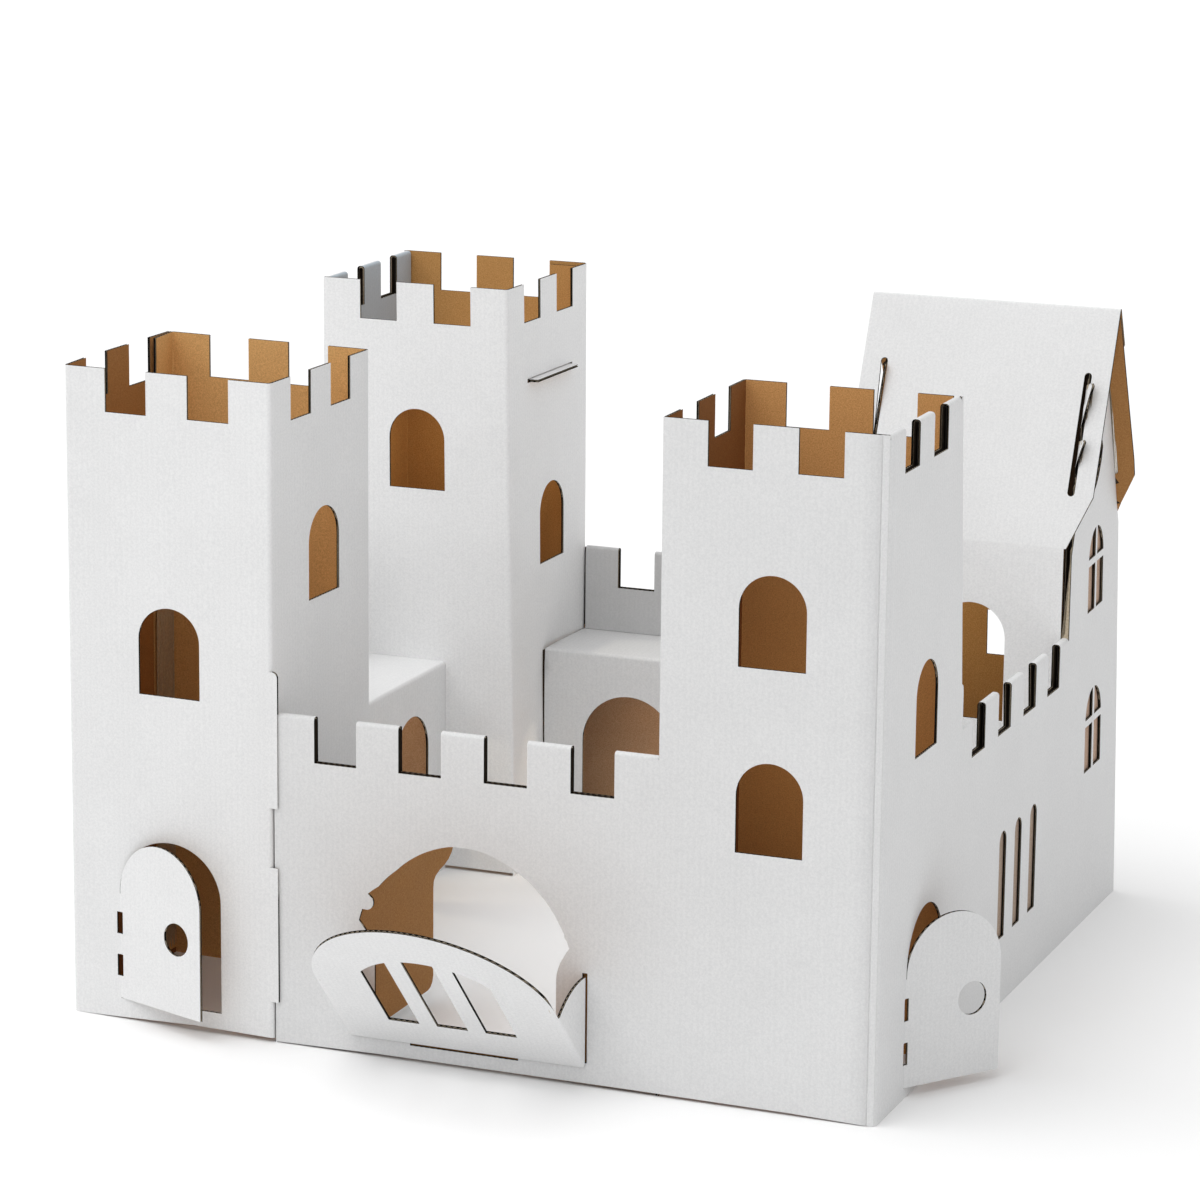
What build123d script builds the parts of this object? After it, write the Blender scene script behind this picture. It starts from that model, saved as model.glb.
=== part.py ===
# Play castle made of folded corrugated card: white outside, brown inside.
# Millimetres, +Z up, the front with the gate faces -Y.
import os
from math import sqrt, cos, sin, radians
from build123d import *

os.makedirs("parts", exist_ok=True)

# ---------------------------------------------------------------- dimensions
CARD = 1.5            # thickness of one sheet of card
GAP = 1.8             # air between the two layers of a folded-over wall
DOUBLE = 2 * CARD + GAP

TOWER_H = 354.0       # tower height
TOWER_NOTCH = 23.0    # depth of the notches between tower merlons
WALL_H = 180.0        # height of the walls between the towers
WALL_NOTCH = 24.5     # depth of the notches between wall merlons

AX0, AX1 = 0.0, 120.0         # front left tower, across
AY0, AY1 = -1.5, 115.5        # front left tower, front to back
CX0, CX1 = 336.0, 454.5       # front right tower, across
CY1 = 116.0                   # its back
BX0, BX1 = -7.0, 113.5        # back left tower, across
BY0, BY1 = 331.0, 448.0       # back left tower, front to back
HY0, HY1 = 331.0, 448.0       # house, front to back
HX0 = 328.5                   # house, left gable

WIN_W, WIN_SPRING = 35.8, 30.0     # arched windows: width, height to the spring
LOW_WIN, HIGH_WIN = 181.5, 231.0   # sills of the tower windows
TUCK_Z = 297.0                     # lower edge of the layer folded down inside a tower
TUCK_WALL = 128.2                  # and of the one folded down behind the left and back walls
DOOR_W, DOOR_SPRING, DOOR_Z = 60.4, 71.5, 11.4
DOOR_OPEN_FRONT = 15.0        # how far each tower door stands open, degrees
DOOR_OPEN_RIGHT = 36.0
DOOR_DROP = 5.7                    # the right door sits this much lower than the front one
HINGE_A, HINGE_C = 28.9, 46.5      # hinge folds, from the corner of the tower

WALK_Z = 128.0                # top of the two walkways
LEFT_WING_X = 72.0            # courtyard face of the left wing
BACK_WING_Y = 387.0           # courtyard face of the back wing

EAVE_Z, RIDGE_Z = 231.0, 359.0
RIDGE_Y = (HY0 + HY1) / 2
ROOF_X0, ROOF_X1 = 315.5, 462.0

GATE_X, GATE_R, GATE_SPRING = 229.3, 59.0, 60.5
LEAF_X = 167.4                # where the inner layer of the gate turns back into the yard
BRIDGE_X0, BRIDGE_X1, BRIDGE_Z = 163.8, 297.6, 11.4
BRIDGE_LEAN = 43.6            # degrees out from the wall
BRIDGE_SIDE = 51.0            # radius of its two quarter sides

# the middle of the whole footprint, bridge and open door included, comes over the origin
CENTRE = (-241.41, -181.81, 0)


# ------------------------------------------------------------------- helpers
def box(x0, x1, y0, y1, z0, z1):
    return Pos((x0 + x1) / 2, (y0 + y1) / 2, (z0 + z1) / 2) * Box(x1 - x0, y1 - y0, z1 - z0)


def sheet(points, direction, amount):
    return extrude(make_face(Polyline(*points, close=True)), amount=amount, dir=direction)


def yz(points, x0, x1):
    return sheet([(x0, y, z) for y, z in points], (1, 0, 0), x1 - x0)


def xz(points, y0, y1):
    return sheet([(x, y0, z) for x, z in points], (0, 1, 0), y1 - y0)


def arch_y(cx, half, z0, spring, y0, y1):
    return box(cx - half, cx + half, y0, y1, z0, spring) + Pos(cx, (y0 + y1) / 2, spring) * Rot(90, 0, 0) * Cylinder(half, y1 - y0)


def arch_x(cy, half, z0, spring, x0, x1):
    return box(x0, x1, cy - half, cy + half, z0, spring) + Pos((x0 + x1) / 2, cy, spring) * Rot(0, 90, 0) * Cylinder(half, x1 - x0)


def window_y(cx, sill, y0, y1, grow=0.0):
    return arch_y(cx, WIN_W / 2 + grow, sill - grow, sill + WIN_SPRING, y0, y1)


def window_x(cy, sill, x0, x1, grow=0.0):
    return arch_x(cy, WIN_W / 2 + grow, sill - grow, sill + WIN_SPRING, x0, x1)


def crossbars_x(cy, sill, x0, x1):
    # the two bars left standing in a gable window
    return box(x0, x1, cy - 2, cy + 2, sill, sill + WIN_SPRING + WIN_W / 2) + box(x0, x1, cy - WIN_W / 2, cy + WIN_W / 2, sill + 27, sill + 31)


def notches(start, end, parts, which, cut):
    step = (end - start) / parts
    out = None
    for i in which:
        c = cut(start + i * step, start + (i + 1) * step)
        out = c if out is None else out + c
    return out


def save(name, shape):
    solid = Pos(*CENTRE) * shape
    solids = solid.solids()
    print(name, "solids", len(solids), "volume", round(sum(s.volume for s in solids) / 1000, 2), "cm3")
    export_step(solids[0] if len(solids) == 1 else Compound(solids), "parts/" + name + ".step")


def door_leaf():
    # leaf lying along +X from its hinge at the origin, outside face at y = 0
    leaf = arch_y(DOOR_W / 2, DOOR_W / 2 - 0.3, DOOR_Z + 0.3, DOOR_SPRING, 0, CARD)
    leaf -= Pos(42.3, CARD / 2, 53.2) * Rot(90, 0, 0) * Cylinder(9.0, 10)
    leaf += box(-0.1, 2, 0, CARD, DOOR_Z + 0.3, DOOR_SPRING - 2)
    return leaf


def hinge_slots(x0, x1, y0, y1):
    return box(x0, x1, y0, y1, 24, 36) + box(x0, x1, y0, y1, 47.6, 59.7)


# ---------------------------------------------------- front left tower, wrapped
tower = box(AX0, AX1, AY0, AY1, 0, TOWER_H) - box(AX0 + CARD, AX1 - CARD, AY0 + CARD, AY1 - CARD, -1, TOWER_H + 1)
top = TOWER_H - TOWER_NOTCH
tower -= notches(AX0, AX1, 5, (1, 3), lambda a, b: box(a, b, AY0 - 5, AY1 + 5, top, TOWER_H + 5))
tower -= notches(AY0, AY1, 5, (1, 3), lambda a, b: box(AX0 - 5, AX1 + 5, a, b, top, TOWER_H + 5))
tower -= window_y((AX0 + AX1) / 2, LOW_WIN, AY0 - 1, AY0 + 3)
tower -= window_x(AY0 + 61.5, HIGH_WIN, AX1 - 3, AX1 + 1)
door_mid_a = HINGE_A + DOOR_W / 2
tower -= arch_y(door_mid_a, DOOR_W / 2, DOOR_Z, DOOR_SPRING, AY0 - 1, AY0 + 3)
tower += Pos(HINGE_A, AY0, 0) * Rot(0, 0, -DOOR_OPEN_FRONT) * door_leaf()
tower += Pos(HINGE_A, AY0 + CARD / 2, (DOOR_Z + DOOR_SPRING) / 2) * Cylinder(CARD / 2 + 0.2, DOOR_SPRING - DOOR_Z - 4)
tower -= hinge_slots(HINGE_A - 1.9, HINGE_A + 1.9, AY0 - 3, AY0 + 4)
# glue flap inside the back left corner
tower += box(AX0 + CARD, AX0 + 2 * CARD, AY1 - 24, AY1 - CARD, 3, TOWER_H)
# two tabs of the front face that lap over the front wall
tower += box(AX1 - 1, AX1 + 4.2, AY0, AY0 + CARD, 128.5, 202)
tower += box(AX1 - 1, AX1 + 4.2, AY0, AY0 + CARD, 22.4, 96.3)
save("tower_front_left", tower)

# ------------- front wall, front right tower, right wall and right gable, one sheet
FX0 = AX1                                     # the wall starts at the left tower
front = box(FX0, CX1, 0, CARD, 0, WALL_H) + box(CX0, CX1, 0, CARD, 0, TOWER_H)
front_in = box(FX0, CX0, CARD + GAP, DOUBLE, 0.2, WALL_H)
front_top = box(FX0, CX0, 0, DOUBLE, WALL_H - CARD, WALL_H)
wall_cut = notches(AX1, CX0, 9, (1, 3, 5, 7), lambda a, b: box(a, b, -5, 10, WALL_H - WALL_NOTCH, WALL_H + 5))
tower_cut_f = notches(CX0, CX1, 5, (1, 3), lambda a, b: box(a, b, -5, 10, top, TOWER_H + 5))
front = front - tower_cut_f + front_in + front_top
front -= wall_cut
for sill in (135.0, HIGH_WIN):
    front -= window_y((CX0 + CX1) / 2, sill, -1, 3)

# gate: round arch on two jambs, with small nubs that hold the bridge shut
gate = Pos(GATE_X, 0, GATE_SPRING) * Rot(90, 0, 0) * Cylinder(GATE_R, 6)
gate &= box(0, 400, -5, 5, 73, 200)
gate += sheet([(170.4, -3, 73.2), (173.5, -3, 69), (177.2, -3, 63.5), (178.3, -3, 58), (178.3, -3, BRIDGE_Z + 2), (280.9, -3, BRIDGE_Z + 2),
               (280.9, -3, 58), (281.5, -3, 63.5), (285, -3, 69), (288.2, -3, 73.2)], (0, 1, 0), 6)
nubs = Pos(174.6, 0, 84.1) * Rot(90, 0, 0) * Cylinder(3.5, 6) + Pos(286.1, 0, 84) * Rot(90, 0, 0) * Cylinder(3.6, 6)
gate -= nubs
front -= gate
front -= box(LEAF_X - 0.7, 282.5, CARD + 0.2, DOUBLE + 1, 12.4, 62) + box(LEAF_X - 0.7, 291, CARD + 0.2, DOUBLE + 1, 62, 122)
# slits for the sides of the bridge and the one under its fold
front -= box(BRIDGE_X0 - 0.6, BRIDGE_X0 + CARD + 0.6, -1, CARD + 0.1, 12.6, 60.5)
front -= box(BRIDGE_X1 - CARD - 0.6, BRIDGE_X1 + 0.6, -1, CARD + 0.1, 12.6, 60.5)
front -= box(198.6, 260, -1, CARD + 0.1, 9.0, 10.6)
# inner layer of the gate, turned back into the yard at the left jamb
leaf = [(CARD + GAP, 14), (9, 7.5), (92, 7.5), (96, 9.3), (97.9, 13.5), (97.9, 66), (101, 69), (118, 74), (124.5, 79)]
leaf += [(66 + 59 * cos(radians(a)), 78 + 44 * sin(radians(a))) for a in range(10, 91, 10)] + [(CARD + GAP, 122)]
front += yz(leaf, LEAF_X - CARD / 2, LEAF_X + CARD / 2)

right = box(CX1 - CARD, CX1, 0, CY1, 0, TOWER_H) + box(CX1 - CARD, CX1, CY1 - 1, CY1 + 4, 0, 198) + box(CX1 - CARD, CX1, CY1, HY0 + 1, 0, WALL_H)
right_in = box(CX1 - DOUBLE, CX1 - CARD - GAP, CARD, CY1 - CARD, TUCK_Z, TOWER_H) + box(CX1 - DOUBLE, CX1 - CARD - GAP, CY1 + 0.1, HY0, 0.2, WALL_H)
right_top = box(CX1 - DOUBLE, CX1, CARD, CY1 - CARD, TOWER_H - CARD, TOWER_H) + box(CX1 - DOUBLE, CX1, CY1 + 0.1, HY0, WALL_H - CARD, WALL_H)
slope = (RIDGE_Z - EAVE_Z) / (RIDGE_Y - HY0)
lift = CARD * sqrt(1 + slope * slope)         # one sheet of roof, measured upright


def gable_outline(drop=0.0):
    # under the front slope and the doubled back slope
    apex_y = RIDGE_Y - lift / (2 * slope)
    apex_z = RIDGE_Z - lift - (RIDGE_Y - apex_y) * slope - drop
    return [(HY0, 0), (HY1, 0), (HY1, EAVE_Z - 2 * lift - drop), (apex_y, apex_z), (HY0, EAVE_Z - lift - drop)]


gable = yz(gable_outline(), CX1 - CARD, CX1)
right = right + right_in + right_top + gable
right -= notches(0, CY1, 5, (1, 3), lambda a, b: box(CX1 - 10, CX1 + 5, a, b, top, TOWER_H + 5))
for a in (149.5, 196.9, 244.2, 290.4):
    right -= box(CX1 - 10, CX1 + 5, a, a + 23.3, WALL_H - WALL_NOTCH, WALL_H + 5)
right -= window_x(69, LOW_WIN - 2.5, CX1 - 3, CX1 + 1)
for cy in (212.5, 241.5, 270.5):
    right -= arch_x(cy, 6.4, 38.2, 92.6, CX1 - CARD - 0.5, CX1 + 1)
for cy, sill in ((RIDGE_Y + 3, 90.2), (RIDGE_Y + 1, 185.0)):
    right -= window_x(cy, sill, CX1 - 3, CX1 + 1) - crossbars_x(cy, sill, CX1 - 4, CX1 + 2)
door_mid_c = HINGE_C + DOOR_W / 2
right -= arch_x(door_mid_c, DOOR_W / 2, DOOR_Z - DOOR_DROP, DOOR_SPRING - DOOR_DROP, CX1 - 3, CX1 + 1)
right += Pos(CX1, HINGE_C, -DOOR_DROP) * Rot(0, 0, 90 - DOOR_OPEN_RIGHT) * door_leaf()
right += Pos(CX1 - CARD / 2, HINGE_C, (DOOR_Z + DOOR_SPRING) / 2 - DOOR_DROP) * Cylinder(CARD / 2 + 0.2, DOOR_SPRING - DOOR_Z - 4)
right -= Pos(CX1, HINGE_C, -DOOR_DROP) * Rot(0, 0, 90) * hinge_slots(-1.9, 1.9, -3, 4)
save("outer_wall_front", front + right)

# --------------------- left and back walls of the front right tower, one sheet
inner_c = box(CX0, CX0 + CARD, CARD, CY1, 0, TOWER_H) + box(CX0, CX1 - DOUBLE, CY1 - CARD, CY1, 0, TOWER_H) + box(CX0, CX1 - CARD, CY1 - CARD, CY1, 0, TUCK_Z - 0.2)
inner_c += box(CX0 + CARD, CX0 + 2 * CARD, CARD, 24, 3, TOWER_H - TOWER_NOTCH - 3)
inner_c -= notches(0, CY1, 5, (1, 3), lambda a, b: box(CX0 - 5, CX0 + 5, a, b, top, TOWER_H + 5))
inner_c -= notches(CX0, CX1, 5, (1, 3), lambda a, b: box(a, b, CY1 - 5, CY1 + 5, top, TOWER_H + 5))
save("tower_front_right_inner", inner_c)

# ---------------------------------------------------------------- drawbridge
lean = radians(BRIDGE_LEAN)
up = (0, -sin(lean), cos(lean))               # up the panel
out = (0, -cos(lean), -sin(lean))             # square to the panel, away from the wall
bridge_mid = (BRIDGE_X0 + BRIDGE_X1) / 2
flat = Plane(origin=(bridge_mid, -0.05, BRIDGE_Z), x_dir=(1, 0, 0), z_dir=out)
half = (BRIDGE_X1 - BRIDGE_X0) / 2


def on_bridge(sk, thick=CARD):
    return extrude(flat * sk, amount=thick, dir=out)


# the sketch plane runs down the panel, so heights are negative there
sign = -1 if flat.y_dir.dot(Vector(*up)) < 0 else 1
panel = Pos(0, sign * 27, 0) * Rectangle(2 * half, 54) + Pos(0, sign * 54, 0) * Circle(half)
for x in (-27.4, 0, 27.4):
    bars = (Pos(0, sign * 44.4, 0) * Circle(46.9) + Pos(0, sign * 30, 0) * Rectangle(90, 40)) & (Pos(x, sign * 60, 0) * Rectangle(17.4, 72))
    panel -= bars
bridge = on_bridge(panel)
bz = BRIDGE_Z
side_pts = [(-0.3, bz)]
tip = (-0.05 - BRIDGE_SIDE * sin(lean), bz + BRIDGE_SIDE * cos(lean))
side_pts.append(tip)
for k in range(1, 10):
    a = lean * (1 - k / 9)
    side_pts.append((-0.05 - (BRIDGE_SIDE - 2 * k / 9) * sin(a), bz + (BRIDGE_SIDE - 2 * k / 9) * cos(a)))
side_pts += [(CARD, bz + BRIDGE_SIDE - 3), (CARD, bz + 3)]
for x in (BRIDGE_X0, BRIDGE_X1 - CARD):
    bridge += yz(side_pts, x, x + CARD)
bridge -= box(0, 500, 0, 40, -10, bz + 1.4)
save("drawbridge", bridge)

# ------------- left wall, left and back of the back left tower, back wall, one sheet
rear = box(BX0, BX0 + CARD, AY1, BY0 + 1, 0, WALL_H) + box(BX0, BX0 + CARD, BY0, BY1, 0, TOWER_H)
rear += box(BX0, BX1, BY1 - CARD, BY1, 0, TOWER_H) + box(BX1 - 1, HX0, BY1 - CARD, BY1, 0, WALL_H)
LI0, LI1 = BX0 + CARD + GAP, BX0 + DOUBLE      # inner layer of the left side
BI0, BI1 = BY1 - DOUBLE, BY1 - CARD - GAP      # inner layer of the back
rear += box(LI0, LI1, AY1, BY0, TUCK_WALL, WALL_H) + box(BX0, LI1, AY1, BY0, WALL_H - CARD, WALL_H)
rear += box(LI0, LI1, BY0 + CARD, BY1 - CARD, TUCK_Z, TOWER_H) + box(BX0, LI1, BY0 + CARD, BY1, TOWER_H - CARD, TOWER_H)
rear += box(BX1, HX0, BI0, BI1, TUCK_WALL, WALL_H) + box(BX1, HX0, BI0, BY1, WALL_H - CARD, WALL_H)
rear -= notches(AY1, BY0, 9, (1, 3, 5, 7), lambda a, b: box(BX0 - 5, LI1 + 5, a, b, WALL_H - WALL_NOTCH, WALL_H + 5))
rear -= notches(BX1, HX0, 9, (1, 3, 5, 7), lambda a, b: box(a, b, BY1 - 10, BY1 + 5, WALL_H - WALL_NOTCH, WALL_H + 5))
rear -= notches(BY0, BY1, 5, (1, 3), lambda a, b: box(BX0 - 5, LI1 + 5, a, b, top, TOWER_H + 5))
rear -= notches(BX0, BX1, 5, (1, 3), lambda a, b: box(a, b, BY1 - 10, BY1 + 5, top, TOWER_H + 5))
save("outer_wall_rear", rear)

# --------------------------- front and right of the back left tower, one sheet
inner_b = box(BX0 + CARD, BX1, BY0, BY0 + CARD, 0, TOWER_H) + box(BX1 - CARD, BX1, BY0, BY1 - CARD, 0, TOWER_H)
inner_b += box(BX1 - 24, BX1, BY1 - 2 * CARD, BY1 - CARD, 3, TOWER_H - 2)
inner_b -= notches(BX0, BX1, 5, (1, 3), lambda a, b: box(a, b, BY0 - 5, BY0 + 5, top, TOWER_H + 5) + box(a, b, BY1 - 5, BY1 + 5, top, TOWER_H + 5))
inner_b -= notches(BY0, BY1, 5, (1, 3), lambda a, b: box(BX1 - 5, BX1 + 5, a, b, top, TOWER_H + 5))
inner_b -= window_y((BX0 + BX1) / 2, HIGH_WIN + 0.5, BY0 - 1, BY0 + 3)
inner_b -= window_x(BY0 + 62.5, LOW_WIN + 0.5, BX1 - 3, BX1 + 1)
inner_b -= box(BX1 - 3, BX1 + 1, 358.5, 424, 294.9, 297.1)
save("tower_back_left_inner", inner_b)

# floor inside the same tower, its tab pushed through the slot in the right side
floor = box(BX0 + CARD, BX1 - CARD, BY0 + CARD, BY1 - 2 * CARD, 295.2, 296.7) + box(BX1 - CARD - 1, BX1 + 5.6, 361, 421, 295.2, 296.7)
save("tower_back_left_floor", floor)

# ------------------------------------------------------- wings round the yard
left_wing = box(BX0 + CARD, LEFT_WING_X, AY1, BY0, WALK_Z - CARD, WALK_Z) + box(LEFT_WING_X - CARD, LEFT_WING_X, AY1, BY0, 0, WALK_Z)
# flap folded down at its back end
left_wing += box(BX0 + CARD, LEFT_WING_X, BY0 - CARD - 0.1, BY0 - 0.1, 3, WALK_Z)
for cy in (164.5, 223.5, 282.5):
    left_wing -= arch_x(cy, 23.4, -1, 81.7, LEFT_WING_X - 3, LEFT_WING_X + 1)
save("left_wing", left_wing)
back_wing = box(BX1, HX0, BACK_WING_Y, BY1 - CARD, WALK_Z - CARD, WALK_Z) + box(BX1, HX0, BACK_WING_Y, BACK_WING_Y + CARD, 0, WALK_Z)
for cx in (167.5, 274.5):
    back_wing -= arch_y(cx, 29.8, -1, 73.0, BACK_WING_Y - 1, BACK_WING_Y + 3)
save("back_wing", back_wing)

# --------------------------------------------------------------------- house
n_in = Vector(0, slope, -1).normalized()       # into the house from the front slope


def on_slope(x, t):
    return (x, HY0 + (RIDGE_Y - HY0) * t, EAVE_Z + (RIDGE_Z - EAVE_Z) * t)


HXR = CX1 - DOUBLE                             # right end of the house front
roof = sheet([on_slope(HX0, 0), on_slope(ROOF_X0, 0.216), on_slope(ROOF_X0, 1), on_slope(ROOF_X1, 1), on_slope(ROOF_X1, 0.216), on_slope(HXR + 1, 0)], tuple(n_in), CARD)
hf = box(HX0, HXR, HY0, HY0 + CARD, 0, EAVE_Z - 0.2)
hf -= arch_y(397, 20, WALK_Z, 175.5, HY0 - 1, HY0 + 3)
n_back = Vector(0, -slope, -1).normalized()


def on_back(x, t, drop=0.0):
    return (x, HY1 - (HY1 - RIDGE_Y) * t, EAVE_Z + (RIDGE_Z - EAVE_Z) * t - drop)


lap = sheet([on_back(ROOF_X0, 0.81), on_back(ROOF_X0, 1), on_back(ROOF_X1, 1), on_back(ROOF_X1, 0.81)], tuple(n_back), CARD)
front_roof = hf + roof + lap
for x in (328.4, 449.4):
    slot = sheet([on_slope(x - 2.1, 0.215), on_slope(x - 2.1, 0.71), on_slope(x + 2.1, 0.71), on_slope(x + 2.1, 0.215)], (0, 0.9, -0.4), 6)
    slot += sheet([(a, b - 3 * 0.9, c + 3 * 0.4) for a, b, c in (on_slope(x - 2.1, 0.215), on_slope(x - 2.1, 0.71), on_slope(x + 2.1, 0.71), on_slope(x + 2.1, 0.215))], (0, 0.9, -0.4), 4)
    front_roof -= slot
save("house_front_and_roof", front_roof)

back = sheet([on_back(HX0, 0.0, lift), on_back(ROOF_X0, 0.216, lift), on_back(ROOF_X0, 0.985, lift), on_back(ROOF_X1, 0.985, lift), on_back(ROOF_X1, 0.216, lift), on_back(CX1, 0.0, lift)], tuple(n_back), CARD)
back += box(HX0, CX1 - CARD, HY1 - CARD, HY1, 0, EAVE_Z - lift)
back -= window_y(391, 137, HY1 - 3, HY1 + 1) - box(389, 393, HY1 - 4, HY1 + 2, 137, 190) - box(370, 412, HY1 - 4, HY1 + 2, 164, 168)
back -= box(300, 480, HY0 - 50, RIDGE_Y - 0.4, 0, 400)
for x in (328.4, 450.0):
    ring = (on_back(x - 2.1, 0.215, lift), on_back(x - 2.1, 0.68, lift), on_back(x + 2.1, 0.68, lift), on_back(x + 2.1, 0.215, lift))
    back -= sheet([(a, b + 3 * 0.9, c + 3 * 0.4) for a, b, c in ring], (0, -0.9, -0.4), 10)
save("house_back_and_roof", back)


def gable_sheet(x0, doorway):
    inner = [(HY0 + CARD, 0), (HY1 - CARD, 0), (HY1 - CARD, EAVE_Z - 2 * lift), (RIDGE_Y - lift / (2 * slope), RIDGE_Z - lift - lift / 2), (HY0 + CARD, EAVE_Z - lift + CARD * slope)]
    g = yz(inner, x0, x0 + CARD)
    g &= yz([(HY0, 0), (HY1, 0), (HY1, EAVE_Z - 2 * lift), (RIDGE_Y - lift / (2 * slope), RIDGE_Z - 1.5 * lift), (HY0, EAVE_Z - lift)], x0 - 1, x0 + 3)
    # hooks through the slot in the front slope
    for t0, t1, rise in ((0.45, 0.672, 7.0), (0.33, 0.437, 6.0)):
        a, b = on_slope(x0, t0), on_slope(x0, t1)
        pts = [(a[1] + 3, a[2]), (b[1] + 3, b[2]), (b[1] - rise * 0.91, b[2] + rise * 0.42 - 4), (a[1] - (rise - 3) * 0.91, a[2] + (rise - 3) * 0.42)]
        g += yz(pts, x0, x0 + CARD)
    # and a small one in the back slope
    a, b = on_back(x0, 0.485, lift), on_back(x0, 0.515, lift)
    g += yz([(a[1] - 5, a[2]), (b[1] - 5, b[2]), (b[1] + 2.6, b[2] + 1.2), (a[1] + 2.6, a[2] + 1.2)], x0, x0 + CARD)
    if doorway:
        g -= arch_x(418, 20, WALK_Z, 176, x0 - 1, x0 + 3)
    return g


save("house_gable_left", gable_sheet(HX0, True))
save("house_gable_right", gable_sheet(CX1 - DOUBLE, False))
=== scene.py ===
# Looks of the card castle: each folded sheet is rebuilt as real corrugated board,
# two liners with fluting between them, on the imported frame.
import bpy
from math import sin, cos, pi, radians, sqrt, hypot, atan2, tan
import numpy as np
from mathutils import Vector, Matrix
from mathutils.geometry import delaunay_2d_cdt


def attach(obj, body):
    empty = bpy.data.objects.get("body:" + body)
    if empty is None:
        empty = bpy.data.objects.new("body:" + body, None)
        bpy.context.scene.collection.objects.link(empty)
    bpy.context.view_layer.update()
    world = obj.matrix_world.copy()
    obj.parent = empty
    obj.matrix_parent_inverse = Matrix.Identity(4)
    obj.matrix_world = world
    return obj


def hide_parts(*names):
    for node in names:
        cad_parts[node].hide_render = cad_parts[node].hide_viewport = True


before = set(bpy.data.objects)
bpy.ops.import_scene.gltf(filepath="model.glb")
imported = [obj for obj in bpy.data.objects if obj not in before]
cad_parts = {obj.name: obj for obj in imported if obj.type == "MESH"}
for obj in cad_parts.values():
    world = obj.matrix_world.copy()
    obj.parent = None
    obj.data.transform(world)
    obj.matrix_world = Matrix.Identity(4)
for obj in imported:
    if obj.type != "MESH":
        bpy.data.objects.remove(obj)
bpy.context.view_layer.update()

MM = 0.001
SHIFT = np.array([-241.41, -181.81, 0.0])   # drawing coordinates to the row's frame
T = 1.5            # board
LINER = 0.24       # one liner
PITCH = 3.2        # fluting
STEP = 12.0        # longest edge along outlines
# material slots; the third, the backs of the liners, is near-black painted shade
WHITE, KRAFT, INNER_SHADE, CUT, FLUTE = range(5)


# ---------------------------------------------------------------- outlines
def rect(s0, s1, t0, t1):
    return [(s0, t0), (s1, t0), (s1, t1), (s0, t1)]


def arc(cx, cy, r, a0, a1, n):
    return [(cx + r * cos(radians(a0 + (a1 - a0) * k / n)), cy + r * sin(radians(a0 + (a1 - a0) * k / n))) for k in range(n + 1)]


def arch(cx, half, z0, spring, n=30):
    return [(cx - half, z0), (cx + half, z0)] + arc(cx, spring, half, 0, 180, n)


def disc(cx, cy, r, n=28):
    return arc(cx, cy, r, 0, 360 * (1 - 1 / n), n - 1)


def flip(loop, total):
    # from heights on the outside to places on the turned-down inner layer
    return [(s, total - t) for s, t in loop]


def move(loop, ds, dt=0.0):
    return [(s + ds, t + dt) for s, t in loop]


def pip(loop, p):
    x, y = p[:, 0], p[:, 1]
    c = np.zeros(len(p), bool)
    n = len(loop)
    for i in range(n):
        x0, y0 = loop[i]
        x1, y1 = loop[(i + 1) % n]
        if y0 == y1:
            continue
        hit = (y0 > y) != (y1 > y)
        c ^= hit & (x < x0 + (y - y0) * (x1 - x0) / (y1 - y0))
    return c


def inside(add, cut, p):
    a = np.zeros(len(p), bool)
    for l in add:
        a |= pip(l, p)
    for l in cut:
        a &= ~pip(l, p)
    return a


def spans(add, cut, s):
    # where the column at s is card, from bottom to top
    ts = []
    for l in add + cut:
        n = len(l)
        for i in range(n):
            x0, y0 = l[i]
            x1, y1 = l[(i + 1) % n]
            if (x0 > s) != (x1 > s):
                ts.append(y0 + (s - x0) * (y1 - y0) / (x1 - x0))
    ts = sorted(set(round(t, 5) for t in ts))
    if len(ts) < 2:
        return []
    mids = np.array([(s, (a + b) / 2) for a, b in zip(ts, ts[1:])])
    ok = inside(add, cut, mids)
    out = []
    for (a, b), o in zip(zip(ts, ts[1:]), ok):
        if not o:
            continue
        if out and abs(out[-1][1] - a) < 1e-4:
            out[-1][1] = b
        else:
            out.append([a, b])
    return out


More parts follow.
